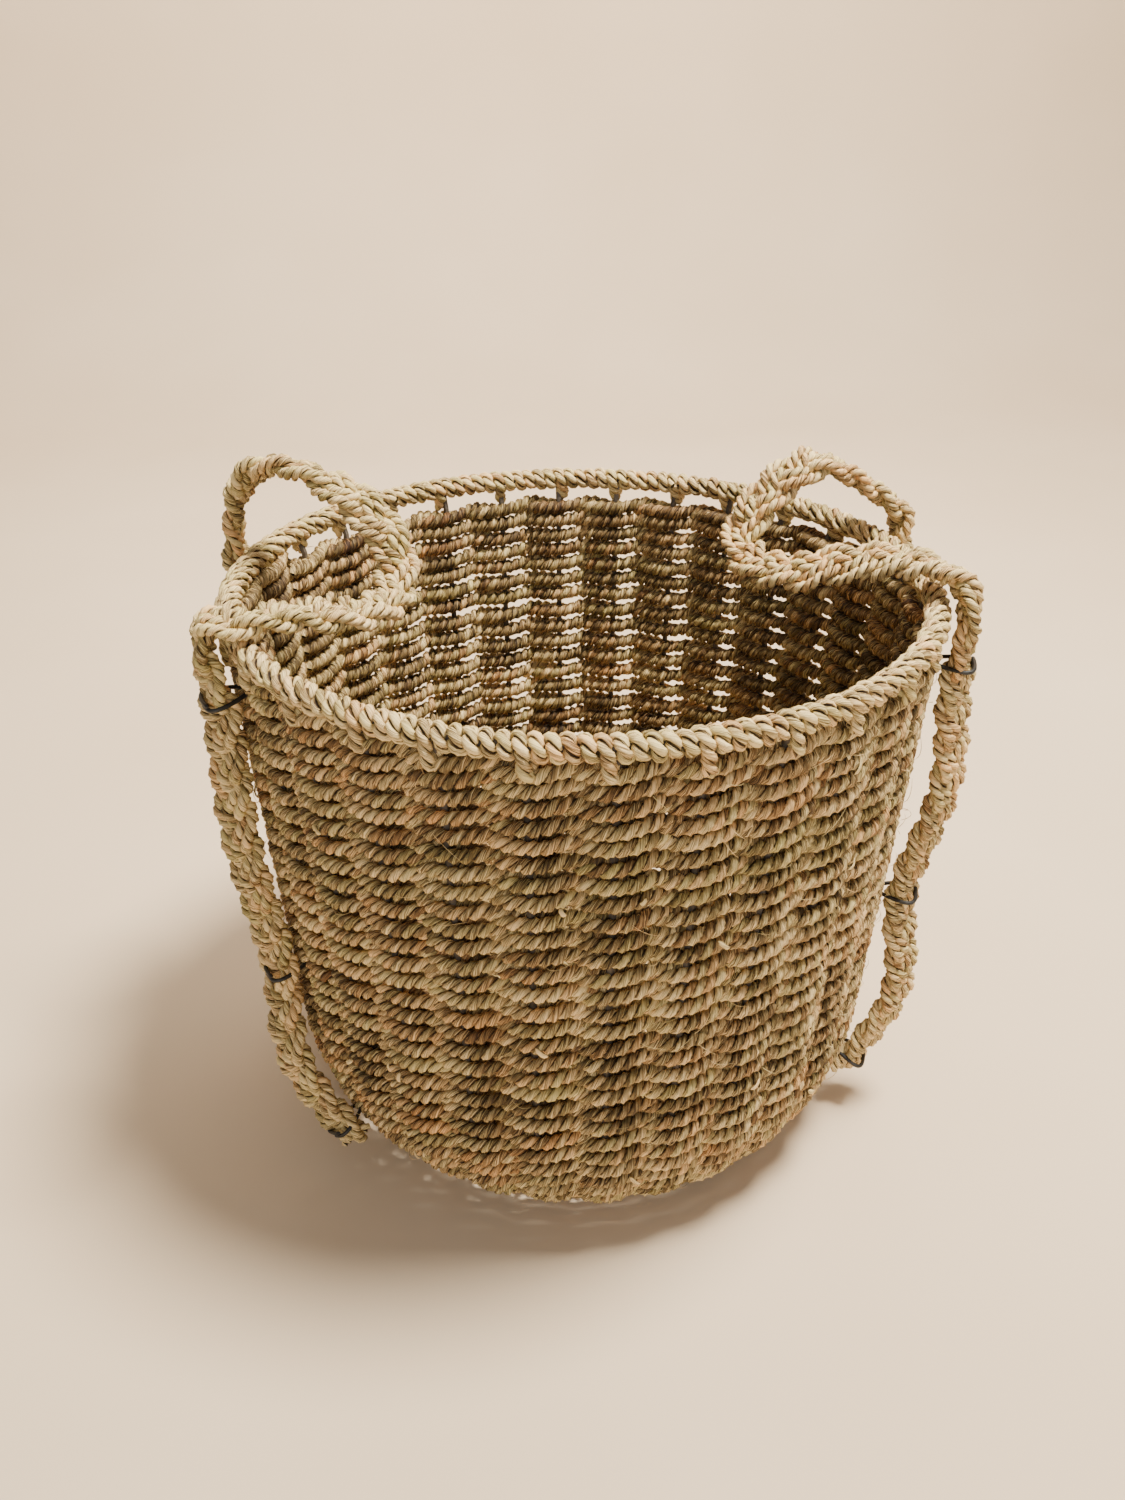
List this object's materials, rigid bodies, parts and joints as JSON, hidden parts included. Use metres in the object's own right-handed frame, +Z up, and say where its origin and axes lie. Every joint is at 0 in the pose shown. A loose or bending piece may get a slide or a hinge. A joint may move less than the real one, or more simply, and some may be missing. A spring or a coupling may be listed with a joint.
{
  "type": "storage basket",
  "caption": "Round woven seagrass storage basket on a wire cage, with a rope-wrapped rim and two plaited loop handles tied to its wall.",
  "frame": {"origin": "centre of the flat underside of the base, on the surface the basket stands on", "axes": "+Z up the basket's axis; the two handles are on +X and -X, each with a near leg on -Y and a far leg on +Y"},
  "size_m": [0.4344, 0.4136, 0.4183],
  "materials": {
    "wall_seagrass": "matt dry fibre",
    "rim_seagrass": "matt dry fibre",
    "handle_seagrass": "matt dry fibre",
    "dark_iron": "dull dark iron",
    "black_tie": "satin black coating"
  },
  "bodies": {
    "basket": {"base_hoop": "dark_iron", "base_weave_inside": "wall_seagrass", "base_weave_under": "wall_seagrass", "left_far_lower_tie": "black_tie", "left_far_middle_tie": "black_tie", "left_far_upper_tie": "black_tie", "left_handle_far_leg": "handle_seagrass", "left_handle_near_leg": "handle_seagrass", "left_near_lower_tie": "black_tie", "left_near_middle_tie": "black_tie", "left_near_upper_tie": "black_tie", "right_far_lower_tie": "black_tie", "right_far_middle_tie": "black_tie", "right_far_upper_tie": "black_tie", "right_handle_far_leg": "handle_seagrass", "right_handle_near_leg": "handle_seagrass", "right_near_lower_tie": "black_tie", "right_near_middle_tie": "black_tie", "right_near_upper_tie": "black_tie", "rim_hoop": "dark_iron", "rim_wrap": "rim_seagrass", "stake_01": "dark_iron", "stake_02": "dark_iron", "stake_03": "dark_iron", "stake_04": "dark_iron", "stake_05": "dark_iron", "stake_06": "dark_iron", "stake_07": "dark_iron", "stake_08": "dark_iron", "stake_09": "dark_iron", "stake_10": "dark_iron", "stake_11": "dark_iron", "stake_12": "dark_iron", "stake_13": "dark_iron", "stake_14": "dark_iron", "stake_15": "dark_iron", "stake_16": "dark_iron", "stake_17": "dark_iron", "stake_18": "dark_iron", "stake_19": "dark_iron", "stake_20": "dark_iron", "stake_21": "dark_iron", "stake_22": "dark_iron", "stake_23": "dark_iron", "stake_24": "dark_iron", "stake_25": "dark_iron", "stake_26": "dark_iron", "stake_27": "dark_iron", "stake_28": "dark_iron", "stake_29": "dark_iron", "stake_30": "dark_iron", "wall_weave_inner": "wall_seagrass", "wall_weave_outer": "wall_seagrass"},
    "right_handle": {"right_handle_loop": "handle_seagrass"},
    "left_handle": {"left_handle_loop": "handle_seagrass"}
  },
  "joints": [
    {"name": "right_handle_hinge", "type": "hinge", "parent": "basket", "child": "right_handle", "pos_m": [0.20697, 0, 0.353], "axis": [0, 1, 0], "range_deg": [0, 125]},
    {"name": "left_handle_hinge", "type": "hinge", "parent": "basket", "child": "left_handle", "pos_m": [-0.20456, -0.00714, 0.353], "axis": [0.0349, -0.9994, 0], "range_deg": [0, 125]}
  ]
}
